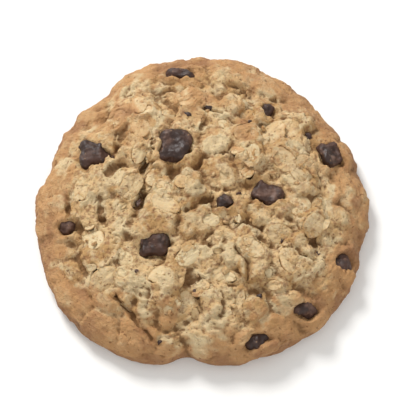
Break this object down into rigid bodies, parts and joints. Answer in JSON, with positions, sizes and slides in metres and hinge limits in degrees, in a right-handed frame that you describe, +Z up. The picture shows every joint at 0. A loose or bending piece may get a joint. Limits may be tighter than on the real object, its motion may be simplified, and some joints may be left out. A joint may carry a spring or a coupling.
{
  "type": "oatmeal chocolate cookie",
  "caption": "Round, craggy oatmeal cookie lying on its flat base, with rolled oat flakes in the dough and dark chocolate chunks and drops baked into its domed top",
  "frame": {"origin": "the middle of the flat base, on the surface that the cookie lies on", "axes": "+Z up through the domed top; +Y towards the edge that is uppermost as the cookie is pictured; +X to the right as it is pictured"},
  "size_m": [0.0844, 0.0842, 0.0144],
  "materials": {
    "baked_oat_dough": "matte",
    "dark_chocolate": "satin"
  },
  "bodies": {
    "root": {"baked_oat_dough": "baked_oat_dough", "chunk_upper_left": "dark_chocolate", "chunk_upper_middle": "dark_chocolate", "chunk_lower_middle": "dark_chocolate", "chunk_right_of_middle": "dark_chocolate", "chunk_right_edge": "dark_chocolate", "drop_lower_right": "dark_chocolate", "drop_low_edge": "dark_chocolate", "drop_right_rim": "dark_chocolate", "drop_top_edge": "dark_chocolate", "drop_small_middle": "dark_chocolate", "drop_small_upper": "dark_chocolate", "drop_small_left": "dark_chocolate"}
  },
  "joints": []
}
